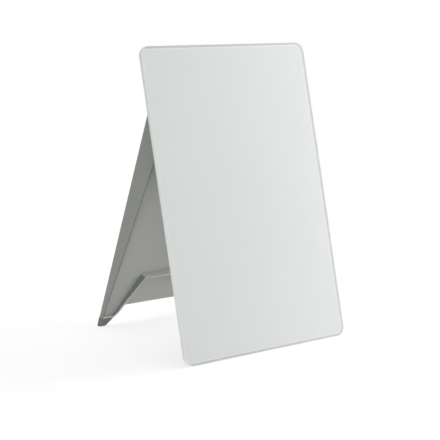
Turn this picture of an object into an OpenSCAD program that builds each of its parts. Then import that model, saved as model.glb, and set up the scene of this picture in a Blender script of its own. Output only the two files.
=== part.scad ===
// Desk whiteboard easel: a steel-backed glass writing board that stands on the desk
// and leans back on a fold-out moulded leg. The desk is z = 0, the writing face looks
// towards -Y, and x = 0 is the middle of the board. Sizes are in millimetres.

/* [Writing board] */
// Width of the glass
board_w = 216; // [190:1:260]
// Height of the glass, measured up its own face
board_h = 297; // [280:1:360]
// Radius of the four corners of the glass
board_r = 10; // [5:0.5:16]
// Thickness of the glass
glass_t = 4; // [3:0.5:6]
// Width of the small bevel ground round the writing face
bevel_w = 0.8; // [0.4:0.1:3]
// Depth of that bevel at the edge of the glass
bevel_d = 0.6; // [0.3:0.1:1]
// Height of the lower edge of the glass above the desk
glass_lift = 0.5; // [0.3:0.1:1.5]
// Angle that the board leans back from upright
lean = 16; // [13:0.5:19]

/* [Backing] */
// Thickness of the steel sheet that magnets hold on to
steel_t = 0.4; // [0.3:0.1:0.8]
// Distance from the edge of the glass to the edge of the steel sheet
steel_margin = 5; // [4:0.5:8]
// Thickness of the foam tape between the steel sheet and the back cover
tape_t = 0.6; // [0.4:0.1:1.2]
// Width of each strip of foam tape
tape_w = 16; // [10:1:18]
// Number of tape strips
tape_count = 4; // [3:1:5]
// Distance that the ends of the tape keep from the ends of the back cover
tape_end = 6; // [4:0.5:12]

/* [Back cover] */
// Overall thickness of the back cover
cover_t = 4.5; // [4:0.5:7]
// Thickness of its rear skin
cover_skin = 1.8; // [1.2:0.1:2.2]
// Distance from the edge of the glass to the sides and top of the cover
cover_margin = 10; // [8:0.5:14]
// Distance from the lower edge of the glass to the lower edge of the cover
cover_low = 4; // [3:0.5:6]
// Radius of the corners of the cover
cover_r = 5; // [3:0.5:8]
// Thickness of the stiffening ribs inside the cover
cover_rib = 1.6; // [1.2:0.1:2.4]
// Number of pockets up the cover
cover_rows = 6; // [4:1:8]

/* [Leg] */
// Distance from each side of the glass to the leg's side wall
leg_inset = 32; // [27:1:43]
// Angle of the leg's rear face from upright, with the leg open
leg_lean = 16; // [13:0.5:19]
// Angle between the leg's rear face and the rim of its side walls
wedge = 6; // [5:0.5:7]
// Wall thickness of the leg
leg_wall = 2; // [1.6:0.1:2.6]
// Thickness of the leg's top wall
leg_top_wall = 3; // [2:0.5:4]
// Distance that the leg runs on above its hinge
leg_top = 34; // [28:1:40]
// Depth of the side walls at the sole of the foot
foot_depth = 3.4; // [3.2:0.1:4.5]
// Width of each foot at the sole
foot_w = 7; // [6:0.5:9]
// Height of the arch between the feet
arch_h = 19.5; // [16:0.5:26]
// Slope of the arch's sides
arch_slope = 45; // [40:1:50]
// Height of the long cross rib above the sole
rib_h = 52.5; // [46:0.5:62]
// Thickness of the ribs
rib_t = 2; // [1.6:0.1:2.4]
// Distance from the side of the leg to the corner of the cross rib
rib_corner = 41; // [36:0.5:48]

/* [Rubber boots] */
// Height of a boot up the foot
boot_h = 8.5; // [7:0.5:10]
// Thickness of the rubber under the foot
boot_sole = 1.8; // [1.5:0.1:2.5]
// Thickness of the rubber round the foot
boot_skin = 0.9; // [0.7:0.1:1]
// Distance that a boot stands out from the leg
boot_out = 0.3; // [0.2:0.1:0.6]
// Thickness of a boot from back to front
boot_depth = 4.5; // [4.3:0.1:5.4]
// Chamfer at the lower rear edge of a boot
boot_chamfer = 1; // [0.6:0.1:1.4]

/* [Hinge] */
// Distance of the hinge axis below the top of the board
hinge_drop = 61; // [51:1:77]
// Distance of the hinge axis behind the back cover
hinge_h = 13; // [12.5:0.1:14.5]
// Diameter of the hinge pins
pin_d = 4; // [3:0.5:5]
// Running clearance round the pins
pin_clear = 0.05; // [0.03:0.01:0.1]
// Diameter of a pin's head
pin_head_d = 8; // [7.5:0.5:9]
// Thickness of a pin's head
pin_head_t = 1.4; // [1:0.1:1.6]
// Diameter of the bosses on the leg's side walls
boss_d = 13; // [12.5:0.5:15]
// Length of those bosses, with the side wall
boss_t = 5; // [4.5:0.5:6]
// Thickness of a bracket's upright lug
lug_t = 4; // [3:0.5:5]
// Diameter of the round end of that lug
lug_d = 11; // [10:0.5:13]
// Thickness of a bracket's base
base_t = 1.6; // [1.4:0.1:2]
// Width of a bracket's base across the board
base_w = 18; // [17:0.5:24]
// Height of a bracket's base up the board
base_h = 28; // [26:1:34]
// Thickness of a friction washer
washer_t = 0.8; // [0.5:0.1:1]
// Outer diameter of a friction washer
washer_d = 11; // [9:0.5:12]
// Free height of a spring washer
spring_h = 0.9; // [0.8:0.1:1.2]
// Thickness of the spring washer's steel
spring_t = 0.4; // [0.3:0.1:0.5]
// Outer diameter of a spring washer
spring_d = 9; // [8:0.5:10]
// Thickness of a retaining clip
clip_t = 0.6; // [0.5:0.1:0.8]
// Outer diameter of a retaining clip
clip_d = 7.6; // [7:0.1:9]
// Depth of the clip's groove in the pin
groove_d = 0.4; // [0.3:0.1:0.5]
// Endwise clearance between parts that turn against each other
end_clear = 0.1; // [0.06:0.02:0.2]

/* [Bracket screws] */
// Diameter of the screw threads
screw_d = 2.6; // [2.2:0.1:3]
// Length of a screw under its head
screw_l = 4.8; // [4:0.1:5.2]
// Diameter of the screw heads
screw_head_d = 5.2; // [4.6:0.1:6]
// Height of the screw heads
screw_head_t = 1.8; // [1.4:0.1:2.2]
// Distance between the two screws of a bracket
screw_pitch = 18; // [16:0.5:20]

/* [Pads] */
// Thickness of the rubber pads that the leg closes and opens on
pad_t = 1.2; // [0.8:0.1:1.6]
// Gap that those pads leave at rest
pad_gap = 0.3; // [0.3:0.1:0.6]
// Length of each pad
pad_l = 18; // [12:1:24]
// Width of each pad
pad_w = 7; // [5:0.5:9]
// Height of the closing pads up the board
close_pad_v = 44; // [36:1:80]
// Distance of the opening pads from the middle of the board
open_pad_x = 44; // [30:1:52]
// Length of each rubber foot under the board
foot_l = 18; // [12:1:18]
// Distance from the side of the cover to the board's rubber foot
foot_inset = 1; // [0.5:0.5:3]
// Depth of the rubber foot's sole
foot_sole = 4.5; // [3.5:0.5:6]
// Height of the rubber foot's tab on the back of the cover
foot_tab_h = 9; // [6:0.5:14]
// Thickness of that tab
foot_tab_t = 1.4; // [1:0.1:2]

/* [Hidden] */

// Depths of the layers behind the writing face
steel_y = glass_t;
tape_y = steel_y + steel_t;
cover_y = tape_y + tape_t;
back_y = cover_y + cover_t;

// Outline of the back cover and its tape lands
tape_side = 1;
cover_w = board_w - 2 * cover_margin;
cover_top = board_h - cover_margin;
cover_h = cover_top - cover_low;
land_w = tape_w + 2 * tape_side;
pocket_w = (cover_w - tape_count * land_w) / (tape_count - 1);
pocket_h = (cover_h - (cover_rows + 1) * cover_rib) / cover_rows;

// Folding geometry: the rim and the back both pass the hinge axis at a set distance
hinge_v = board_h - hinge_drop;
spread = lean + leg_lean;
fold = spread + wedge;
rim_gap = pad_t + pad_gap;
rim_r = hinge_h - rim_gap;
board_z = glass_lift + glass_t * sin(lean);
axis_y = hinge_v * sin(lean) + (back_y + hinge_h) * cos(lean);
axis_z = board_z + hinge_v * cos(lean) - (back_y + hinge_h) * sin(lean);
boot_front = boot_depth - boot_out;
leg_len = (axis_z + (foot_depth - rim_r / cos(wedge) - boot_front) * sin(leg_lean))
    / (cos(leg_lean) - tan(wedge) * sin(leg_lean));
hinge_in = foot_depth + leg_len * tan(wedge) - rim_r / cos(wedge);

// Outline of the leg
leg_w = board_w - 2 * leg_inset;
half_w = leg_w / 2;
ledge_s = boot_h + rib_t;
foot_run = 1 / tan(arch_slope);
ledge_x = half_w - foot_w - boot_h * foot_run;
corner_x = half_w - rib_corner;
rib_dir = [corner_x - ledge_x, rib_h - ledge_s] / norm([corner_x - ledge_x, rib_h - ledge_s]);
rib_low = rib_h - rib_t;

// Middle of the standing easel, which is y = 0
front_y = min(bevel_d * cos(lean), bevel_w * sin(lean));
rear_y = axis_y + (hinge_in + boot_out) * cos(leg_lean) + leg_len * sin(leg_lean);
board_y = -(front_y + rear_y) / 2;

// Places along the hinge axis, measured from the middle of the board
head_sunk = 0.2;
tip_run = 1;
boss_x = half_w - boss_t;
head_x = half_w - pin_head_t - head_sunk;
washer_x = boss_x - end_clear - washer_t;
lug_x = washer_x - lug_t;
spring_x = lug_x - spring_h;
clip_x = spring_x - end_clear - clip_t;
tip_x = clip_x - tip_run;
base_x = washer_x - base_w;
screw_x = base_x + (base_w - lug_t) / 2;

far = 2 * board_h;
arc_steps = 20;
lug_flare = 3;

// Clearances and walls that no size changes
thread_clear = 0.03;
fit_clear = 0.05;
hole_clear = 0.2;
ring_clear = 0.15;
screw_boss_wall = 1.8;
screw_tip_gap = 0.3;
bore_l = 10;
pad_over = 1;
tip_chamfer = 0.4;
head_chamfer = 0.3;

module on_board() {
    // Board frame: y is the depth behind the writing face, z runs up the board
    translate([0, board_y, board_z])
        rotate([-lean, 0, 0])
            children();
}

module on_back() {
    // The same frame with y = 0 on the rear face of the back cover
    on_board()
        translate([0, back_y, 0])
            children();
}

module on_leg() {
    // Leg frame: z runs up the leg's rear face from the sole, -y points to the board
    translate([0, board_y + axis_y, axis_z])
        rotate([leg_lean, 0, 0])
            translate([0, hinge_in, -leg_len])
                children();
}

module on_axis(side) {
    // Hinge frame: z runs outwards along the hinge axis on one side
    on_back()
        translate([0, hinge_h, hinge_v])
            rotate([0, side * 90, 0])
                children();
}

module above_desk() {
    // Cuts the part flat where it meets the desk
    difference() {
        children();
        translate([-far, -far, -far])
            cube([2 * far, 2 * far, far]);
    }
}

module rounded(w, h, r) {
    // Rectangle with round corners, centred on x and standing on y = 0
    union() {
        translate([-w / 2 + r, 0])
            square([w - 2 * r, h]);
        translate([-w / 2, r])
            square([w, h - 2 * r]);
        for (x = [-w / 2 + r, w / 2 - r], y = [r, h - r])
            translate([x, y])
                circle(r, $fn = 64);
    }
}

module upright(depth) {
    // Extrudes a flat outline, drawn in x and z, towards +y
    translate([0, depth, 0])
        rotate([90, 0, 0])
            linear_extrude(depth)
                children();
}

module writing_glass() {
    // Toughened glass with a small bevel ground round the writing face
    color("whitesmoke")
        on_board()
            hull() {
                translate([0, bevel_d, 0])
                    upright(glass_t - bevel_d)
                        rounded(board_w, board_h, board_r);
                translate([0, 0, bevel_w])
                    upright(bevel_d)
                        rounded(board_w - 2 * bevel_w, board_h - 2 * bevel_w, board_r - bevel_w / 2);
            }
}

module steel_sheet() {
    // Thin steel sheet glued to the back of the glass
    color("silver")
        on_board()
            translate([0, steel_y, steel_margin])
                upright(steel_t)
                    rounded(board_w - 2 * steel_margin, board_h - 2 * steel_margin, board_r - steel_margin / 2);
}

module mounting_tape() {
    // Strips of foam tape, one on each land of the back cover
    color("dimgray")
        on_board()
            for (i = [0 : tape_count - 1])
                translate([-cover_w / 2 + tape_side + i * (land_w + pocket_w), tape_y, cover_low + tape_end])
                    cube([tape_w, tape_t, cover_h - 2 * tape_end]);
}

module bracket_holes(r, depth) {
    // The two screw holes of each bracket, going in from the rear face of the cover
    for (side = [-1, 1], up = [-1, 1])
        translate([side * screw_x, -depth, hinge_v + up * screw_pitch / 2])
            rotate([-90, 0, 0])
                cylinder(h = depth, r = r, $fn = 48);
}

module back_cover() {
    // Moulded cover: a smooth rear skin with pockets, ribs and screw bosses behind it
    color("gainsboro")
        on_board()
            difference() {
                union() {
                    difference() {
                        translate([0, cover_y, cover_low])
                            upright(cover_t)
                                rounded(cover_w, cover_h, cover_r);
                        for (i = [0 : tape_count - 2], j = [0 : cover_rows - 1])
                            translate([
                                -cover_w / 2 + land_w + i * (land_w + pocket_w),
                                cover_y - 1,
                                cover_low + cover_rib + j * (pocket_h + cover_rib)
                            ])
                                cube([pocket_w, cover_t - cover_skin + 1, pocket_h]);
                    }
                    translate([0, back_y - cover_skin / 2, 0])
                        bracket_holes(screw_d / 2 + screw_boss_wall, cover_t - cover_skin / 2);
                }
                translate([0, back_y + 1, 0])
                    bracket_holes(screw_d / 2 + thread_clear, screw_l - base_t + screw_tip_gap + 1);
            }
}

module board_foot(side) {
    // Rubber foot glued under the cover's lower edge, with a tab up its rear face
    color([0.25, 0.26, 0.26])
        above_desk()
            on_board()
                translate([side * (cover_w / 2 - foot_inset - foot_l / 2) - foot_l / 2, 0, 0]) {
                    translate([0, back_y - foot_sole + foot_tab_t, -foot_sole])
                        cube([foot_l, foot_sole, cover_low + foot_sole]);
                    translate([0, back_y, cover_low - 1])
                        cube([foot_l, foot_tab_t, foot_tab_h + 1]);
                }
}

module hinge_bracket(side) {
    // Die-cast bracket: a base screwed to the cover and a lug that carries the pin
    color("lightslategray")
        difference() {
            union() {
                on_back()
                    translate([side * (base_x + base_w / 2) - base_w / 2, 0, hinge_v - base_h / 2])
                        cube([base_w, base_t, base_h]);
                on_axis(side)
                    translate([0, 0, lug_x])
                        linear_extrude(lug_t) {
                            circle(d = lug_d, $fn = 64);
                            polygon([
                                [-lug_d / 2, 0],
                                [lug_d / 2, 0],
                                [lug_d / 2 + lug_flare, -hinge_h + base_t / 2],
                                [-lug_d / 2 - lug_flare, -hinge_h + base_t / 2]
                            ]);
                        }
            }
            on_axis(side)
                translate([0, 0, lug_x - 1])
                    cylinder(h = lug_t + 2, r = pin_d / 2 + pin_clear, $fn = 64);
            on_back()
                translate([0, base_t + 1, 0])
                    bracket_holes(screw_d / 2 + hole_clear, base_t + 2);
        }
}

module screw() {
    // Pan-head screw with a cross recess, its shank along -z
    difference() {
        union() {
            translate([0, 0, -screw_l])
                cylinder(h = screw_l + 0.1, d = screw_d, $fn = 32);
            cylinder(h = screw_head_t * 0.6, d = screw_head_d, $fn = 48);
            translate([0, 0, screw_head_t * 0.6])
                cylinder(h = screw_head_t * 0.4, d1 = screw_head_d, d2 = screw_head_d * 0.7, $fn = 48);
        }
        for (turn = [0, 90])
            rotate([0, 0, turn])
                translate([-screw_d / 2, -0.3, screw_head_t * 0.4])
                    cube([screw_d, 0.6, screw_head_t]);
    }
}

module bracket_screws() {
    // Four screws through the two brackets into the cover's bosses
    color("silver")
        on_back()
            for (side = [-1, 1], up = [-1, 1])
                translate([side * screw_x, base_t, hinge_v + up * screw_pitch / 2])
                    rotate([-90, 0, 0])
                        screw();
}

module friction_washer(side) {
    // Nylon washer between the lug and the leg's boss, which gives the hinge its drag
    color("ivory")
        on_axis(side)
            translate([0, 0, washer_x])
                difference() {
                    cylinder(h = washer_t, d = washer_d, $fn = 64);
                    translate([0, 0, -1])
                        cylinder(h = washer_t + 2, r = pin_d / 2 + ring_clear, $fn = 64);
                }
}

module spring_washer(side) {
    // Dished steel washer that loads the hinge endwise
    color("silver")
        on_axis(side)
            translate([0, 0, spring_x])
                rotate_extrude($fn = 64)
                    polygon([
                        [pin_d / 2 + ring_clear, 0],
                        [spring_d / 2, spring_h - spring_t],
                        [spring_d / 2, spring_h],
                        [pin_d / 2 + ring_clear, spring_t]
                    ]);
}

module open_stop_pad(side) {
    // Rubber pad on the cover that the leg's top wall leans on when the leg is open
    color([0.25, 0.26, 0.26])
        on_back()
            translate([side * open_pad_x - pad_l / 2, 0, hinge_v + leg_top - pad_w + pad_over])
                cube([pad_l, pad_t, pad_w]);
}

module closing_pad(side) {
    // Rubber pad on the cover that the rim of the folded leg closes on
    color([0.25, 0.26, 0.26])
        on_back()
            translate([side * (half_w - leg_wall / 2) - pad_w / 2, 0, close_pad_v])
                cube([pad_w, pad_t, pad_l]);
}

function leg_point(d, up) =
    // Point of the leg's side view, given d behind the cover and up from the hinge
    [-hinge_in, leg_len]
    + (d - hinge_h) * [cos(spread), -sin(spread)]
    + up * [sin(spread), cos(spread)];

function rear_d(depth, up) =
    // Distance behind the cover of the plane that lies that deep in the leg, at that height
    hinge_h + (hinge_in - depth - up * sin(spread)) / cos(spread);

module leg_side() {
    // Side view of the leg: y points rearwards, z up the leg's rear face
    polygon([
        [0, boot_h],
        leg_point(rear_d(0, leg_top), leg_top),
        leg_point(rim_gap, leg_top),
        for (i = [0 : arc_steps], a = [180 - spread + i * fold / arc_steps])
            [-hinge_in, leg_len] + rim_r * [cos(a), sin(a)],
        [-foot_depth - boot_h * tan(wedge), boot_h]
    ]);
}

module side_prism(w) {
    // Extrudes a side view across the leg, centred on x
    translate([-w / 2, 0, 0])
        rotate([90, 0, 90])
            linear_extrude(w)
                children();
}

module plan_prism(depth) {
    // Extrudes a front view of the leg from a depth behind its rear face to past its rim
    translate([0, -depth - far, 0])
        upright(far)
            children();
}

module tray_plan() {
    // Hollow of the leg above its cross rib
    inner_x = half_w - leg_wall;
    polygon([
        [-inner_x, ledge_s], [-ledge_x, ledge_s], [-corner_x, rib_h],
        [corner_x, rib_h], [ledge_x, ledge_s], [inner_x, ledge_s],
        [inner_x, far], [-inner_x, far]
    ]);
}

module skirt_plan() {
    // The rear wall alone runs on below the cross rib
    low_x = ledge_x - rib_t / rib_dir.y;
    slope = rib_dir.x / rib_dir.y;
    foot_x = low_x + (boot_h - ledge_s) * slope;
    top_x = low_x + (rib_low - ledge_s) * slope;
    polygon([[-foot_x, boot_h - 1], [-top_x, rib_low], [top_x, rib_low], [foot_x, boot_h - 1]]);
}

module arch_plan() {
    // Gap between the feet, down past the desk
    top_x = half_w - foot_w - arch_h * foot_run;
    low_x = half_w - foot_w + boot_h * foot_run;
    polygon([[-low_x, -boot_h], [-top_x, arch_h], [top_x, arch_h], [low_x, -boot_h]]);
}

module foot_plan(inset, low, high) {
    // Outline of both feet, drawn in from the boots' outside by the inset
    slant = inset / sin(arch_slope);
    for (side = [-1, 1])
        polygon([
            [side * (half_w + boot_out - inset), low],
            [side * (half_w + boot_out - inset), high],
            [side * (half_w - foot_w - high * foot_run + slant), high],
            [side * (half_w - foot_w - low * foot_run + slant), low]
        ]);
}

module folding_leg() {
    // One moulding: a shallow tray, open towards the board, with an arch between its feet
    color([0.56, 0.57, 0.56])
        on_leg()
            difference() {
                union() {
                    difference() {
                        side_prism(leg_w)
                            leg_side();
                        intersection() {
                            plan_prism(leg_wall)
                                tray_plan();
                            side_prism(leg_w)
                                polygon([
                                    [-leg_wall, 0],
                                    leg_point(rear_d(leg_wall, leg_top - leg_top_wall), leg_top - leg_top_wall),
                                    leg_point(-far, leg_top - leg_top_wall),
                                    [-far, 0]
                                ]);
                        }
                        plan_prism(leg_wall)
                            skirt_plan();
                        plan_prism(-1)
                            arch_plan();
                    }
                    for (side = [-1, 1])
                        translate([side * (half_w - boss_t / 2) - boss_t / 2, -hinge_in, leg_len])
                            rotate([0, 90, 0])
                                cylinder(h = boss_t, d = boss_d, $fn = 64);
                    translate([0, -boot_front + boot_skin, 0])
                        upright(boot_depth - 2 * boot_skin)
                            foot_plan(boot_skin + fit_clear, boot_sole, boot_h + rib_t / 2);
                }
                translate([-half_w - 1, -hinge_in, leg_len])
                    rotate([0, 90, 0])
                        cylinder(h = leg_w + 2, r = pin_d / 2 + pin_clear, $fn = 64);
                for (side = [-1, 1])
                    translate([side * (head_x + bore_l / 2) - bore_l / 2, -hinge_in, leg_len])
                        rotate([0, 90, 0])
                            cylinder(h = bore_l, r = pin_head_d / 2 + hole_clear, $fn = 64);
            }
}

module foot_boot(side) {
    // Rubber boot pushed over one foot and cut flat where it stands
    color([0.43, 0.44, 0.43])
        above_desk()
            on_leg()
                intersection() {
                    difference() {
                        side_prism(2 * leg_w)
                            polygon([
                                [-boot_front, -boot_h],
                                [-boot_front, boot_h],
                                [boot_out, boot_h],
                                [boot_out, 0],
                                [boot_out - boot_chamfer, -boot_chamfer],
                                [boot_out - boot_chamfer, -boot_h]
                            ]);
                        plan_prism(-1)
                            difference() {
                                translate([-leg_w, -2 * boot_h])
                                    square([2 * leg_w, 4 * boot_h]);
                                foot_plan(0, -2 * boot_sole, boot_h);
                            }
                        translate([0, -boot_front + boot_skin - fit_clear, 0])
                            upright(boot_depth - 2 * boot_skin + 2 * fit_clear)
                                foot_plan(boot_skin, boot_sole - fit_clear, boot_h + 1);
                    }
                    translate([side * leg_w - leg_w, -leg_w, -leg_w])
                        cube(2 * leg_w);
                }
}

module hinge_pin(side) {
    // Steel pin with a flat head, a clip groove and a chamfered tip
    r = pin_d / 2;
    color("silver")
        on_axis(side)
            rotate_extrude($fn = 64)
                polygon([
                    [0, tip_x],
                    [r - tip_chamfer, tip_x],
                    [r, tip_x + tip_chamfer],
                    [r, clip_x - fit_clear],
                    [r - groove_d, clip_x - fit_clear],
                    [r - groove_d, clip_x + clip_t + fit_clear],
                    [r, clip_x + clip_t + fit_clear],
                    [r, head_x],
                    [pin_head_d / 2, head_x],
                    [pin_head_d / 2, head_x + pin_head_t - head_chamfer],
                    [pin_head_d / 2 - head_chamfer, head_x + pin_head_t],
                    [0, head_x + pin_head_t]
                ]);
}

module retaining_clip(side) {
    // Open spring-steel clip snapped into the pin's groove
    neck_r = pin_d / 2 - groove_d + 0.02;
    color("dimgray")
        on_axis(side)
            translate([0, 0, clip_x])
                linear_extrude(clip_t)
                    difference() {
                        circle(d = clip_d, $fn = 64);
                        circle(r = neck_r, $fn = 64);
                        translate([side < 0 ? -clip_d : 0, -neck_r * 0.8])
                            square([clip_d, neck_r * 1.6]);
                    }
}

writing_glass();
steel_sheet();
mounting_tape();
back_cover();
board_foot(-1);  // board_foot_left
board_foot(1);  // board_foot_right
hinge_bracket(-1);  // hinge_bracket_left
hinge_bracket(1);  // hinge_bracket_right
bracket_screws();
friction_washer(-1);  // friction_washer_left
friction_washer(1);  // friction_washer_right
spring_washer(-1);  // spring_washer_left
spring_washer(1);  // spring_washer_right
open_stop_pad(-1);  // open_stop_pad_left
open_stop_pad(1);  // open_stop_pad_right
closing_pad(-1);  // closing_pad_left
closing_pad(1);  // closing_pad_right
folding_leg();
foot_boot(-1);  // foot_boot_left
foot_boot(1);  // foot_boot_right
hinge_pin(-1);  // hinge_pin_left
hinge_pin(1);  // hinge_pin_right
retaining_clip(-1);  // retaining_clip_left
retaining_clip(1);  // retaining_clip_right
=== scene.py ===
import math
import bpy
import bmesh
from mathutils import Matrix, Vector


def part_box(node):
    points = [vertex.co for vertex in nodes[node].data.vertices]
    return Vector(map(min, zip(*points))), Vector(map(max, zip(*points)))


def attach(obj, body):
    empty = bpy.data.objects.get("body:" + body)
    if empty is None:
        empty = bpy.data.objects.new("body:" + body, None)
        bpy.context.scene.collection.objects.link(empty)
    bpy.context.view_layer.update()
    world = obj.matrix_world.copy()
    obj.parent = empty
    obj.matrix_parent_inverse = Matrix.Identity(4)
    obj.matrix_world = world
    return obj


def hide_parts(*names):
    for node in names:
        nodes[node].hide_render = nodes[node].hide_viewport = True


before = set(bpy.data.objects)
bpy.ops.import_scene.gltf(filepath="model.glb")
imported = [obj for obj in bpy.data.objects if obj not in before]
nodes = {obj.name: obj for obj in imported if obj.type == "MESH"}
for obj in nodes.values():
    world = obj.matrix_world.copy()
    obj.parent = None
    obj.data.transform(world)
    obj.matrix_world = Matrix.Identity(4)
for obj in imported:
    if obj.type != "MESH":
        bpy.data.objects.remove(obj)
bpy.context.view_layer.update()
scene = bpy.context.scene

# Camera
# A long lens stands a metre and a half away, to the left of the board and a little above it,
# tipped slightly about its own axis, as the photograph was taken.
VIEW_AZIMUTH = math.radians(44.13)
VIEW_ELEVATION = math.radians(10.56)
VIEW_ROLL = math.radians(-2.75)
VIEW_DISTANCE = 1.5734
VIEW_TARGET = Vector((0.00634, 0.0, 0.1139))
LENS_MM = 130.7
SENSOR_MM = 36.0
sight = Vector(
    (
        math.sin(VIEW_AZIMUTH) * math.cos(VIEW_ELEVATION),
        math.cos(VIEW_AZIMUTH) * math.cos(VIEW_ELEVATION),
        -math.sin(VIEW_ELEVATION),
    )
)
camera = bpy.data.objects.new("camera", bpy.data.cameras.new("camera"))
scene.collection.objects.link(camera)
camera.data.sensor_width = SENSOR_MM
camera.data.lens = LENS_MM
camera.location = VIEW_TARGET - sight * VIEW_DISTANCE
camera.rotation_mode = "QUATERNION"
level = sight.to_track_quat("-Z", "Y").to_matrix()
camera.rotation_quaternion = (Matrix.Rotation(VIEW_ROLL, 3, sight) @ level).to_quaternion()
camera.data.clip_start = 0.05
camera.data.clip_end = 50.0
scene.camera = camera
scene.view_settings.view_transform = "Standard"


# Floor, backdrop and lamps
# A white paper sweep on a desk in a bright room. One soft lamp hangs above, one stands close on
# the right and shines in behind the board, and a weaker one stands by the camera.
def srgb(code):
    # Turns a hex colour into the linear values that a shader takes.
    parts = [int(code[i : i + 2], 16) / 255 for i in (1, 3, 5)]
    return tuple(c / 12.92 if c <= 0.04045 else ((c + 0.055) / 1.055) ** 2.4 for c in parts) + (1.0,)


def add(tree, kind, values=None, links=None, **settings):
    # Adds one node, sets its properties and socket values, and links its inputs.
    made = tree.nodes.new(kind)
    for name, value in settings.items():
        setattr(made, name, value)
    for name, value in (values or {}).items():
        made.inputs[name].default_value = value
    for name, source in (links or {}).items():
        tree.links.new(source, made.inputs[name])
    return made


def new_material(name):
    # An empty node material and its output node.
    made = bpy.data.materials.new(name)
    made.use_nodes = True
    made.node_tree.nodes.clear()
    return made, made.node_tree, made.node_tree.nodes.new("ShaderNodeOutputMaterial")


def white_paper():
    # Matt white paper. Straight to the eye it is mostly its own white, so the shadow stays faint,
    # and it runs out to plain white away from the easel.
    mat, tree, out = new_material("white_paper")
    place = add(tree, "ShaderNodeTexCoord")
    reach = add(tree, "ShaderNodeVectorMath", links={0: place.outputs["Object"]}, operation="LENGTH")
    fade = add(
        tree,
        "ShaderNodeMapRange",
        {"From Min": 0.18, "From Max": 0.60, "To Min": 0.72, "To Max": 1.0},
        {"Value": reach.outputs["Value"]},
        interpolation_type="SMOOTHSTEP",
    )
    path = add(tree, "ShaderNodeLightPath")
    share = add(
        tree,
        "ShaderNodeMath",
        links={0: fade.outputs["Result"], 1: path.outputs["Is Camera Ray"]},
        operation="MULTIPLY",
    )
    paper = add(tree, "ShaderNodeBsdfDiffuse", {"Color": srgb("#F2F2F1"), "Roughness": 0.5})
    plain = add(tree, "ShaderNodeEmission", {"Color": srgb("#FFFFFF"), "Strength": 1.0})
    mix = add(
        tree,
        "ShaderNodeMixShader",
        links={0: share.outputs["Value"], 1: paper.outputs["BSDF"], 2: plain.outputs["Emission"]},
    )
    tree.links.new(mix.outputs["Shader"], out.inputs["Surface"])
    return mat


FLOOR_HALF = 4.0
floor_mesh = bpy.data.meshes.new("paper_floor")
floor_signs = ((-1, -1), (1, -1), (1, 1), (-1, 1))
floor_corners = [(x * FLOOR_HALF, y * FLOOR_HALF, 0.0) for x, y in floor_signs]
floor_mesh.from_pydata(floor_corners, [], [(0, 1, 2, 3)])
floor = bpy.data.objects.new("paper_floor", floor_mesh)
scene.collection.objects.link(floor)
floor_mesh.materials.append(white_paper())

world = bpy.data.worlds.new("bright_room")
scene.world = world
world.use_nodes = True
room = world.node_tree
room.nodes.clear()
direction = add(room, "ShaderNodeTexCoord")
# The room has a bright wall on the right, whose edge the glass mirrors softly.
bright_wall = Vector((0.97, 0.0, 0.24))
bright_side = add(
    room,
    "ShaderNodeVectorMath",
    {1: bright_wall},
    {0: direction.outputs["Generated"]},
    operation="DOT_PRODUCT",
)
glow = add(
    room,
    "ShaderNodeMapRange",
    {"From Min": 0.64, "From Max": 0.80, "To Min": 0.34, "To Max": 1.1},
    {"Value": bright_side.outputs["Value"]},
    interpolation_type="SMOOTHSTEP",
)
ray = add(room, "ShaderNodeLightPath")
room_light = add(
    room,
    "ShaderNodeBackground",
    {"Color": srgb("#FFFFFF")},
    {"Strength": glow.outputs["Result"]},
)
backdrop = add(room, "ShaderNodeBackground", {"Color": srgb("#FFFFFF"), "Strength": 1.0})
seen = add(
    room,
    "ShaderNodeMixShader",
    links={
        0: ray.outputs["Is Camera Ray"],
        1: room_light.outputs["Background"],
        2: backdrop.outputs["Background"],
    },
)
add(room, "ShaderNodeOutputWorld", links={"Surface": seen.outputs["Shader"]})


def soft_lamp(name, place, aim, size, watts):
    # A square softbox that faces its aim. Its outline isn't mirrored in the glass.
    lamp = bpy.data.objects.new(name, bpy.data.lights.new(name, "AREA"))
    scene.collection.objects.link(lamp)
    lamp.data.shape = "SQUARE"
    lamp.data.size = size
    lamp.data.energy = watts
    lamp.location = place
    lamp.rotation_mode = "QUATERNION"
    lamp.rotation_quaternion = (Vector(aim) - Vector(place)).to_track_quat("-Z", "Y")
    lamp.visible_camera = False
    lamp.visible_glossy = False
    lamp.visible_transmission = False


soft_lamp("top_softbox", place=(0.15, 0.1, 2.1), aim=(0.0, 0.0, 0.1), size=1.8, watts=27.0)
soft_lamp("side_softbox", place=(0.70, -0.11, 0.40), aim=(0.0, 0.05, 0.10), size=0.34, watts=6.8)
soft_lamp("camera_softbox", place=(-1.45, -1.45, 0.55), aim=(0.0, 0.0, 0.12), size=0.8, watts=10.8)


# Writing glass
# A pane of low-iron toughened glass, polished in front and ground at its edges. White enamel
# is printed on its back up to 2.1 mm from the edge, where the grey primer under it shows. A
# band along the enamel's printed edge is painted whiter, as a painted highlight line.
LEAN = math.radians(16.0)
BOARD_W, BOARD_H, GLASS_T = 0.216, 0.297, 0.004
CORNER_R, SHARPEST_R, CORNER_STEPS = 0.010, 0.0015, 14
BEVEL_W, BEVEL_D = 0.0008, 0.0006
REAR_CHAMFER = 0.0003
# The second of these insets bounds the enamel band that is painted whiter as a highlight line.
BARE_MARGIN, HIGHLIGHT_BAND_INSET = 0.0021, 0.0031
GLASS_LIFT = 0.0005
STEEL_GAP = 0.00006
ENAMEL_Y = GLASS_T - STEEL_GAP
# The front edge of the bevel is the piece's foremost point, low down.
BOARD_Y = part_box("writing_glass")[0].y - BEVEL_W * math.sin(LEAN)
BOARD_Z = GLASS_LIFT + GLASS_T * math.sin(LEAN)
ON_BOARD = Matrix.Translation((0.0, BOARD_Y, BOARD_Z)) @ Matrix.Rotation(-LEAN, 4, "X")


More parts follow.
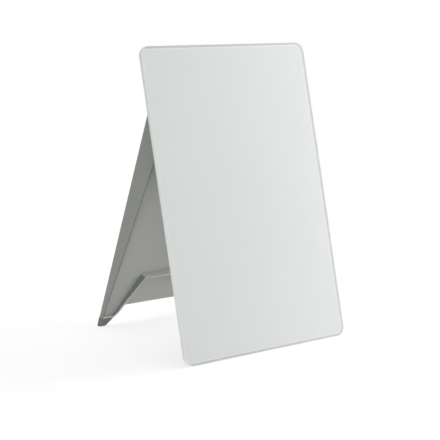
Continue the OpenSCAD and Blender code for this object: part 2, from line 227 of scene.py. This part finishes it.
def link_mesh(name, bm, materials, body):
    # Turns a bmesh into a finished piece that rides on its body. Its steeper edges stay sharp.
    mesh = bpy.data.meshes.new(name)
    bm.to_mesh(mesh)
    bm.free()
    for mat in materials:
        mesh.materials.append(mat)
    piece = bpy.data.objects.new(name, mesh)
    scene.collection.objects.link(piece)
    mesh.shade_smooth()
    mesh.set_sharp_from_angle(angle=math.radians(30.0))
    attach(piece, body)
    return piece


def board_outline(inset):
    # Points of the board's outline, in its own x and z, drawn in by the inset.
    r = max(CORNER_R - inset, SHARPEST_R)
    x_c, low, high = BOARD_W / 2 - inset - r, inset + r, BOARD_H - inset - r
    outline = []
    for cx, cz, start in ((x_c, low, -90), (x_c, high, 0), (-x_c, high, 90), (-x_c, low, 180)):
        for i in range(CORNER_STEPS + 1):
            a = math.radians(start + 90.0 * i / CORNER_STEPS)
            outline.append((cx + r * math.cos(a), cz + r * math.sin(a)))
    return outline


def texture_on(tree, kind, values):
    # A procedural pattern in metres on the piece itself, so that it keeps its real size.
    place = add(tree, "ShaderNodeTexCoord")
    return add(tree, kind, values, {"Vector": place.outputs["Object"]})


def spread(tree, value, low, high, start=0.3, end=0.7):
    # Stretches part of a pattern's range over the values from low to high.
    limits = {"From Min": start, "From Max": end, "To Min": low, "To Max": high}
    return add(tree, "ShaderNodeMapRange", limits, {"Value": value}).outputs["Result"]


def darkened(tree, code, factor):
    # A colour that a varying factor makes darker in places.
    body = add(
        tree,
        "ShaderNodeMix",
        {6: srgb(code), 0: 1.0},
        {7: factor},
        data_type="RGBA",
        blend_type="MULTIPLY",
    )
    return body.outputs[2]


def between(tree, first, second, factor):
    # A colour that varies between two.
    tone = add(tree, "ShaderNodeMix", {6: srgb(first), 7: srgb(second)}, {0: factor}, data_type="RGBA")
    return tone.outputs[2]


def dents(tree, height, strength, depth):
    # Shading of small dents, with their depth in metres.
    values = {"Strength": strength, "Distance": depth}
    return add(tree, "ShaderNodeBump", values, {"Height": height}).outputs["Normal"]


def opaque(tree, out, values, links):
    # Ends a material in one principled shader.
    shade = add(tree, "ShaderNodeBsdfPrincipled", values, links)
    tree.links.new(shade.outputs["BSDF"], out.inputs["Surface"])


def lamp_light_passes(tree, out, values, links):
    # Ends a material in a principled shader that the eye and reflections see, while light falls
    # straight through it.
    shade = add(tree, "ShaderNodeBsdfPrincipled", values, links)
    clear = add(tree, "ShaderNodeBsdfTransparent", {"Color": srgb("#FDFDFD")})
    path = add(tree, "ShaderNodeLightPath")
    lit = add(
        tree,
        "ShaderNodeMath",
        links={0: path.outputs["Is Shadow Ray"], 1: path.outputs["Is Diffuse Ray"]},
        operation="MAXIMUM",
    )
    mix = add(
        tree,
        "ShaderNodeMixShader",
        links={0: lit.outputs["Value"], 1: shade.outputs["BSDF"], 2: clear.outputs["BSDF"]},
    )
    tree.links.new(mix.outputs["Shader"], out.inputs["Surface"])


def polished_glass():
    # Clear float glass. Light falls straight through to the enamel, and the eye sees the enamel
    # through one bend, as in a real pane. Faint wipe marks stay in the gloss.
    mat, tree, out = new_material("polished_low_iron_glass")
    wipe = texture_on(tree, "ShaderNodeTexNoise", {"Scale": 22.0, "Detail": 4.0, "Distortion": 1.2})
    lamp_light_passes(
        tree,
        out,
        {"Base Color": srgb("#FFFFFF"), "IOR": 1.52, "Transmission Weight": 1.0},
        {"Roughness": spread(tree, wipe.outputs["Fac"], low=0.03, high=0.07, start=0.35)},
    )
    return mat


def fired_enamel(name, code, rough):
    # Ceramic enamel fired on to the glass: an even, opaque body, with the very slight change of
    # tone that the printing screen leaves.
    mat, tree, out = new_material(name)
    cloud = texture_on(tree, "ShaderNodeTexNoise", {"Scale": 9.0, "Detail": 3.0, "Roughness": 0.55})
    opaque(
        tree,
        out,
        {"Roughness": rough, "IOR": 1.5, "Specular IOR Level": 0.1},
        {"Base Color": darkened(tree, code, spread(tree, cloud.outputs["Fac"], low=0.985, high=1.0))},
    )
    return mat


def ground_glass(name, code):
    # Diamond-ground glass edge: matt and slightly green, with grit marks about 0.2 mm apart.
    # Some light enters through it, as it does through the polished face.
    mat, tree, out = new_material(name)
    grit = texture_on(tree, "ShaderNodeTexNoise", {"Scale": 1 / 0.0002, "Detail": 2.0}).outputs["Fac"]
    lamp_light_passes(
        tree,
        out,
        {"Roughness": 0.55, "IOR": 1.52, "Specular IOR Level": 0.3},
        {
            "Base Color": darkened(tree, code, spread(tree, grit, low=0.96, high=1.0)),
            "Normal": dents(tree, grit, strength=0.25, depth=0.00004),
        },
    )
    return mat


# Rings from the enamel round the back and over the ground side to the polished face, each as
# its inset and its depth behind the face, and the finish of each band between two rings.
WHITE, PRIMER, GROUND, BEVEL, FACE, PAINTED_EDGE_HIGHLIGHT = range(6)
glass_rings = [
    (HIGHLIGHT_BAND_INSET, ENAMEL_Y),
    (BARE_MARGIN, ENAMEL_Y),
    (REAR_CHAMFER, ENAMEL_Y),
    (0.0, ENAMEL_Y - REAR_CHAMFER),
    (0.0, BEVEL_D),
    (BEVEL_W, 0.0),
]
glass_bands = [PAINTED_EDGE_HIGHLIGHT, PRIMER, GROUND, GROUND, BEVEL]
bm = bmesh.new()
rings = []
for inset, depth in glass_rings:
    rings.append([bm.verts.new(ON_BOARD @ Vector((x, depth, z))) for x, z in board_outline(inset)])
for band, (outer, inner) in zip(glass_bands, zip(rings, rings[1:])):
    for i in range(len(outer)):
        j = (i + 1) % len(outer)
        bm.faces.new((outer[i], outer[j], inner[j], inner[i])).material_index = band
bm.faces.new(rings[-1]).material_index = FACE
bm.faces.new(list(reversed(rings[0]))).material_index = WHITE
bmesh.ops.recalc_face_normals(bm, faces=bm.faces)
clear_face = polished_glass()
pane = link_mesh(
    "writing_glass_pane",
    bm,
    [
        fired_enamel("white_fired_enamel", "#CCCECD", rough=0.4),
        fired_enamel("grey_enamel_primer", "#B7BABA", rough=0.5),
        ground_glass("ground_glass_edge", "#DBDFDD"),
        clear_face,
        clear_face,
        # A whiter band along the enamel's edge: a painted highlight line.
        fired_enamel("white_enamel_painted_highlight", "#D5D7D6", rough=0.4),
    ],
    "board",
)
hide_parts("writing_glass")


# Steel sheet
# Thin cold-rolled steel, zinc dipped, glued flat to the back of the glass so that magnets hold.
# The zinc leaves a pattern of pale and dark crystals, about 8 mm across.
def dipped_zinc():
    # Satin metal whose crystals each catch the light a little differently.
    mat, tree, out = new_material("hot_dipped_zinc")
    crystals = texture_on(tree, "ShaderNodeTexVoronoi", {"Scale": 1 / 0.008}).outputs["Color"]
    opaque(
        tree,
        out,
        {"Metallic": 1.0},
        {
            "Base Color": between(tree, "#A9ACAD", "#C3C5C5", crystals),
            "Roughness": spread(tree, crystals, low=0.28, high=0.48, start=0.0, end=1.0),
        },
    )
    return mat


def finish_node(name, mat):
    # Gives a carried-over solid its material.
    mesh = nodes[name].data
    if not mesh.materials:
        mesh.materials.append(mat)
    for i in range(len(mesh.materials)):
        mesh.materials[i] = mat


finish_node("steel_sheet", dipped_zinc())


# Mounting tape
# Four strips of closed-cell acrylic foam tape, 0.6 mm thick, that hold the cover to the steel.
# Foam is matt and slightly open at its cut edges.
def cell_foam():
    # Dark matt foam with cells about 0.3 mm across.
    mat, tree, out = new_material("acrylic_foam")
    cells = texture_on(tree, "ShaderNodeTexVoronoi", {"Scale": 1 / 0.0003}).outputs["Distance"]
    opaque(
        tree,
        out,
        {"Roughness": 0.85, "IOR": 1.47},
        {
            "Base Color": between(tree, "#2E3031", "#3C3E3F", cells),
            "Normal": dents(tree, cells, strength=0.5, depth=0.0001),
        },
    )
    return mat


finish_node("mounting_tape", cell_foam())


# Back cover
# An injection-moulded ABS shell with a fine spark-eroded grain on its outside and smooth,
# slightly rounded edges. It is taped to the steel sheet and carries the hinge.
def softened(node, name, body, materials, radius, finish_of=None, cuts=()):
    # A copy of a solid with its edges rounded, as a mould or a tumbling drum leaves them. Where
    # one moulding has several finishes, finish_of picks the one for each face, and the cuts are
    # the x of the upright planes at which its flat faces are divided first.
    weld, flat_within, rounded_above = 2e-5, math.radians(1.0), math.radians(32.0)
    bm = bmesh.new()
    bm.from_mesh(nodes[node].data)
    for x in cuts:
        geometry = bm.verts[:] + bm.edges[:] + bm.faces[:]
        bmesh.ops.bisect_plane(bm, geom=geometry, dist=1e-5, plane_co=(x, 0, 0), plane_no=(1, 0, 0))
    bmesh.ops.remove_doubles(bm, verts=bm.verts, dist=weld)
    for face in bm.faces:
        face.material_index = finish_of(face) if finish_of else 0
    bmesh.ops.dissolve_limit(
        bm,
        angle_limit=flat_within,
        verts=bm.verts,
        edges=bm.edges,
        use_dissolve_boundaries=False,
        delimit={"MATERIAL"},
    )
    piece = link_mesh(name, bm, materials, body)
    round_off = piece.modifiers.new("rounded_edges", "BEVEL")
    round_off.width = radius
    round_off.segments = 3
    round_off.limit_method = "ANGLE"
    round_off.angle_limit = rounded_above
    round_off.harden_normals = True
    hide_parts(node)
    return piece


def moulded_abs(name, code, grain_mm, rough):
    # Matt moulded plastic: the spark-eroded mould leaves fine rounded pits, which scatter the
    # highlight, and the pigment drifts very slightly along the flow.
    mat, tree, out = new_material(name)
    fine = {"Scale": 1000.0 / grain_mm, "Detail": 3.0, "Roughness": 0.6}
    grain = texture_on(tree, "ShaderNodeTexNoise", fine).outputs["Fac"]
    drift = texture_on(tree, "ShaderNodeTexNoise", {"Scale": 14.0, "Detail": 2.0}).outputs["Fac"]
    opaque(
        tree,
        out,
        {"IOR": 1.54, "Specular IOR Level": 0.4},
        {
            "Base Color": darkened(tree, code, spread(tree, drift, low=0.965, high=1.0)),
            "Roughness": spread(tree, grain, rough - 0.05, rough + 0.06),
            "Normal": dents(tree, grain, strength=0.35, depth=0.00008),
        },
    )
    return mat


cover_abs = moulded_abs("pale_grey_abs", "#CFD1D0", grain_mm=0.5, rough=0.52)
cover = softened("back_cover", "back_cover_moulding", "board", [cover_abs], radius=0.0007)


# Rubber feet and pads
# Solid dark grey rubber, compression moulded, with soft edges and a dull bloom. The feet are
# glued under the cover, and the four thin pads are stuck on its back for the leg to land on.
def solid_rubber(name, code):
    # Dull rubber with a fine dusty grain.
    mat, tree, out = new_material(name)
    fine = {"Scale": 1 / 0.0004, "Detail": 4.0, "Roughness": 0.65}
    grain = texture_on(tree, "ShaderNodeTexNoise", fine).outputs["Fac"]
    bloom = texture_on(tree, "ShaderNodeTexNoise", {"Scale": 160.0, "Detail": 3.0}).outputs["Fac"]
    opaque(
        tree,
        out,
        {"Roughness": 0.72, "IOR": 1.52, "Specular IOR Level": 0.35},
        {
            "Base Color": darkened(tree, code, spread(tree, bloom, low=0.9, high=1.06)),
            "Normal": dents(tree, grain, strength=0.3, depth=0.00006),
        },
    )
    return mat


dark_rubber = solid_rubber("dark_grey_rubber", "#4A4D4D")
for side in ("left", "right"):
    for part, radius in (("board_foot", 0.0006), ("open_stop_pad", 0.0004), ("closing_pad", 0.0004)):
        node = f"{part}_{side}"
        piece = softened(node, f"{node}_rubber", "board", [dark_rubber], radius)


# Hinge brackets
# Die-cast zinc, tumbled and powder coated grey, each screwed to the cover by its base. The lug
# stands up from the base and carries the pin.
def powder_coat():
    # Thin baked powder paint with a slight orange peel, about 1 mm from crest to crest.
    mat, tree, out = new_material("grey_powder_coat")
    peel = texture_on(tree, "ShaderNodeTexNoise", {"Scale": 1 / 0.001, "Detail": 1.0}).outputs["Fac"]
    opaque(
        tree,
        out,
        {"Roughness": 0.45, "IOR": 1.5},
        {
            "Base Color": between(tree, "#6E7173", "#787B7D", peel),
            "Normal": dents(tree, peel, strength=0.4, depth=0.00005),
        },
    )
    return mat


coated_zinc = powder_coat()
for side in ("left", "right"):
    node = f"hinge_bracket_{side}"
    bracket = softened(node, f"{node}_casting", "board", [coated_zinc], radius=0.0004)


# Washers, clips and pins
# The washers between lug and leg are punched nylon, the dished washers and clips are spring
# steel, and the pins are turned steel with a zinc plate, each held by its clip.
def turned_metal(name, code, rough, axis="X"):
    # Bright metal with the fine rings that a lathe, a die or a punch leaves round a piece's axis,
    # which is one of the board's own. The wave pattern repeats every 2 pi / 20 of its scale.
    ring_gap = 0.00015
    mat, tree, out = new_material(name)
    place = add(tree, "ShaderNodeTexCoord")
    upright = add(
        tree,
        "ShaderNodeMapping",
        {"Rotation": (LEAN, 0.0, 0.0)},
        {"Vector": place.outputs["Object"]},
    )
    ring_marks = add(
        tree,
        "ShaderNodeTexWave",
        {"Scale": 2 * math.pi / (20.0 * ring_gap), "Distortion": 0.4, "Detail": 1.0},
        {"Vector": upright.outputs["Vector"]},
        bands_direction=axis,
    ).outputs["Fac"]
    opaque(
        tree,
        out,
        {"Metallic": 1.0, "Base Color": srgb(code)},
        {
            "Roughness": spread(tree, ring_marks, rough - 0.05, rough + 0.06, start=0.0, end=1.0),
            "Normal": dents(tree, ring_marks, strength=0.12, depth=0.00002),
        },
    )
    return mat


def natural_nylon():
    # Slightly waxy off-white plastic.
    mat, tree, out = new_material("natural_nylon")
    haze = texture_on(tree, "ShaderNodeTexNoise", {"Scale": 400.0, "Detail": 2.0}).outputs["Fac"]
    opaque(
        tree,
        out,
        {"Roughness": 0.38, "IOR": 1.53},
        {"Base Color": between(tree, "#E2DED2", "#ECE9DF", haze)},
    )
    return mat


plated_steel = turned_metal("bright_zinc_plate", "#C9CBCB", rough=0.26)
spring_steel = turned_metal("oiled_spring_steel", "#7C7E80", rough=0.32)
nylon = natural_nylon()
for side in ("left", "right"):
    finish_node(f"friction_washer_{side}", nylon)
    finish_node(f"spring_washer_{side}", spring_steel)
    finish_node(f"retaining_clip_{side}", spring_steel)
    finish_node(f"hinge_pin_{side}", plated_steel)


# Bracket screws
# Four alike pan-head screws, cold headed and thread rolled, zinc plated, with a cross recess.
# They pass through the bracket bases into bosses of the cover.
SCREW_ACROSS, SCREW_UP = 0.1182, 0.018
SCREW_SEAT = (0.0, 0.0111, 0.236)
SHANK_L, THREAD_R, THREAD_DEPTH, THREAD_PITCH = 0.0048, 0.00128, 0.00032, 0.0010
THREAD_START, THREAD_FADE, RIDGE_HALF = 0.0003, 0.0007, 0.3
TIP_SHARE = 0.5
HEAD_R, HEAD_T, HEAD_SIDE, HEAD_EDGE, HEAD_FLAT_R = 0.00258, 0.00179, 0.0006, 0.0001, 0.0017
RECESS_T, RECESS_MOUTH, RECESS_FLOOR = 0.0010, (0.00125, 0.00036), (0.0007, 0.0002)
SPOKES, SHANK_ROWS, DOME_ROWS = 40, 64, 6
STOP_SEED = 7


def threaded_radius(height, turn):
    # Radius of the rolled thread at a height below the head, fading out near head and tip.
    phase = (height / THREAD_PITCH - turn) % 1.0
    ridge = max(0.0, 1.0 - abs(phase - 0.5) / RIDGE_HALF)
    from_ends = min(height - THREAD_START, SHANK_L - height) / THREAD_FADE
    return THREAD_R - THREAD_DEPTH * (1.0 - ridge * min(max(from_ends, 0.0), 1.0))


def cross_outline(length, width):
    # Twelve corners of a cross, in the screw's own x and z.
    turned = []
    for quarter in range(4):
        a = math.radians(90.0 * quarter)
        for x, z in ((width, width), (width, length), (-width, length)):
            turned.append((x * math.cos(a) - z * math.sin(a), x * math.sin(a) + z * math.cos(a)))
    return turned


def screw_profile():
    # Rows of radius and height, from the tip up to the flat of the head.
    rows = []
    for k in range(SHANK_ROWS + 1):
        below = SHANK_L * (1.0 - k / SHANK_ROWS)
        share = TIP_SHARE if k == 0 else 1.0
        rows.append([(threaded_radius(below, i / SPOKES) * share, -below) for i in range(SPOKES)])
    head = [(HEAD_R - HEAD_EDGE, 0.0), (HEAD_R, HEAD_EDGE), (HEAD_R, HEAD_SIDE)]
    for k in range(1, DOME_ROWS + 1):
        a = math.radians(90.0 * k / DOME_ROWS)
        radius = HEAD_FLAT_R + (HEAD_R - HEAD_FLAT_R) * math.cos(a)
        head.append((radius, HEAD_SIDE + (HEAD_T - HEAD_SIDE) * math.sin(a)))
    return rows + [[point] * SPOKES for point in head]


def screw_mesh():
    # One screw: its head points along +y and bears on y = 0.
    bm = bmesh.new()
    loops = []
    for row in screw_profile():
        loop = []
        for i, (radius, height) in enumerate(row):
            a = 2 * math.pi * i / SPOKES
            loop.append(bm.verts.new((radius * math.cos(a), height, radius * math.sin(a))))
        loops.append(loop)
    mouth = [bm.verts.new((x, HEAD_T, z)) for x, z in cross_outline(*RECESS_MOUTH)]
    bottom = [bm.verts.new((x, HEAD_T - RECESS_T, z)) for x, z in cross_outline(*RECESS_FLOOR)]
    for low, high in list(zip(loops, loops[1:])) + [(mouth, bottom)]:
        for i in range(len(low)):
            j = (i + 1) % len(low)
            bm.faces.new((low[i], low[j], high[j], high[i]))
    bm.faces.new(loops[0])
    bm.faces.new(bottom)
    rims = []
    for ring in (loops[-1], mouth):
        rims += [bm.edges.get((a, b)) for a, b in zip(ring, ring[1:] + ring[:1])]
    bmesh.ops.triangle_fill(bm, edges=rims, normal=(0.0, 1.0, 0.0))
    bmesh.ops.recalc_face_normals(bm, faces=bm.faces)
    mesh = bpy.data.meshes.new("pan_head_screw")
    bm.to_mesh(mesh)
    bm.free()
    mesh.shade_smooth()
    mesh.set_sharp_from_angle(angle=math.radians(40.0))
    return mesh


def screws_tree():
    # Sets one screw at each corner of a rectangle, turned to a stop angle of its own.
    tree = bpy.data.node_groups.new("screw_rows", "GeometryNodeTree")
    sockets = {}
    for name, kind in (
        ("Geometry", "NodeSocketGeometry"),
        ("Spacing Across", "NodeSocketFloat"),
        ("Spacing Up", "NodeSocketFloat"),
        ("Seat", "NodeSocketVector"),
        ("Stop Angle Seed", "NodeSocketInt"),
        ("Finish", "NodeSocketMaterial"),
    ):
        sockets[name] = tree.interface.new_socket(name, in_out="INPUT", socket_type=kind).identifier
    tree.interface.new_socket("Geometry", in_out="OUTPUT", socket_type="NodeSocketGeometry")
    given = tree.nodes.new("NodeGroupInput")
    corners = add(
        tree,
        "GeometryNodeMeshGrid",
        {"Vertices X": 2, "Vertices Y": 2},
        {"Size X": given.outputs["Spacing Across"], "Size Y": given.outputs["Spacing Up"]},
    )
    upright = add(
        tree,
        "GeometryNodeTransform",
        {"Rotation": (math.radians(90.0), 0.0, 0.0)},
        {"Geometry": corners.outputs["Mesh"], "Translation": given.outputs["Seat"]},
    )
    stop = add(
        tree,
        "FunctionNodeRandomValue",
        {"Min": (0.0, 0.0, 0.0), "Max": (0.0, math.pi / 2, 0.0)},
        {"Seed": given.outputs["Stop Angle Seed"]},
        data_type="FLOAT_VECTOR",
    )
    spin = add(tree, "FunctionNodeEulerToRotation", links={"Euler": stop.outputs["Value"]})
    placed = add(
        tree,
        "GeometryNodeInstanceOnPoints",
        links={
            "Points": upright.outputs["Geometry"],
            "Instance": given.outputs["Geometry"],
            "Rotation": spin.outputs["Rotation"],
        },
    )
    solid = add(tree, "GeometryNodeRealizeInstances", links={"Geometry": placed.outputs["Instances"]})
    coated = add(
        tree,
        "GeometryNodeSetMaterial",
        links={"Geometry": solid.outputs["Geometry"], "Material": given.outputs["Finish"]},
    )
    result = tree.nodes.new("NodeGroupOutput")
    tree.links.new(coated.outputs["Geometry"], result.inputs["Geometry"])
    return tree, sockets


screw_plate = turned_metal("zinc_plated_screw_steel", "#BFC2C4", rough=0.3, axis="Y")
blank = bpy.data.objects.new("screw_pattern", screw_mesh())
scene.collection.objects.link(blank)
rows_tree, row_sockets = screws_tree()
repeat = blank.modifiers.new("screw_rows", "NODES")
repeat.node_group = rows_tree
repeat[row_sockets["Spacing Across"]] = SCREW_ACROSS
repeat[row_sockets["Spacing Up"]] = SCREW_UP
repeat[row_sockets["Seat"]] = SCREW_SEAT
repeat[row_sockets["Stop Angle Seed"]] = STOP_SEED
repeat[row_sockets["Finish"]] = screw_plate
settled = blank.evaluated_get(bpy.context.evaluated_depsgraph_get())
screws_mesh = bpy.data.meshes.new_from_object(settled)
screws_mesh.transform(ON_BOARD)
screws_mesh.name = "bracket_screw_set"
screws = bpy.data.objects.new("bracket_screw_set", screws_mesh)
scene.collection.objects.link(screws)
blank.modifiers.remove(repeat)
bpy.data.objects.remove(blank)
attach(screws, "board")
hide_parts("bracket_screws")


# Folding leg
# One injection moulding in mid-grey ABS: a shallow tray open towards the board, a rib across it
# and an arch between its feet. Its edges are rounded by the mould and its skin has a fine grain.
LEG_INNER_X = 0.074
# Limits on a face's normal: y when it looks at the board, z between that of the tray's floor
# (-0.276) and that of the rim (-0.375), z and x on the rib's sides, and z on a nearly level face.
TO_BOARD_Y, RIM_Z, SIDE_Z, SIDE_X, LEVEL_Z = -0.9, -0.33, 0.1, 0.35, 0.5
PLAIN, GRAINED_AND_LIT, POLISHED_AND_SHADED, PAINTED_CREST_HIGHLIGHT = range(4)
leg_finishes = [
    moulded_abs("mid_grey_abs", "#8A8C88", grain_mm=0.5, rough=0.5),
    # A deeper grain than the plain finish, and lighter as painted light inside the tray and on the
    # rib's top.
    moulded_abs("mid_grey_abs_grained_painted_light", "#A9AAA6", grain_mm=0.9, rough=0.62),
    # Smoother than the plain finish, and darker as painted shade on the rim and the rib's steep sides.
    moulded_abs("mid_grey_abs_polished_painted_shade", "#7E8785", grain_mm=0.25, rough=0.38),
    # A paler copy of the plastic for the rib's crest: a painted highlight.
    moulded_abs("mid_grey_abs_painted_highlight", "#B9B9B4", grain_mm=0.9, rough=0.5),
]


def leg_finish(face):
    # The mould is grained deeper inside the tray, and those faces and the rib's level top are painted
    # lighter as painted light. The rim of its side walls and the steep sides of the rib are polished
    # and painted darker as painted shade. The rib's crest is painted paler as a painted highlight.
    normal = face.normal
    inside = abs(face.calc_center_median().x) < LEG_INNER_X
    faces_board = normal.y < TO_BOARD_Y
    if faces_board and normal.z > RIM_Z:
        return GRAINED_AND_LIT
    if faces_board:
        return PAINTED_CREST_HIGHLIGHT if inside else POLISHED_AND_SHADED
    if inside and normal.z > SIDE_Z and abs(normal.x) > SIDE_X:
        return POLISHED_AND_SHADED
    return GRAINED_AND_LIT if inside and normal.z > LEVEL_Z else PLAIN


leg = softened(
    "folding_leg",
    "folding_leg_moulding",
    "leg",
    leg_finishes,
    radius=0.0005,
    finish_of=leg_finish,
    cuts=(-LEG_INNER_X, LEG_INNER_X),
)


# Foot boots
# Dark grey rubber boots, moulded to the feet and pushed over them, so that the leg doesn't slide.
# Only the soles touch the desk.
boot_rubber = solid_rubber("boot_rubber_grey", "#757B79")
for side in ("left", "right"):
    node = f"foot_boot_{side}"
    boot = softened(node, f"{node}_rubber", "leg", [boot_rubber], radius=0.0003)
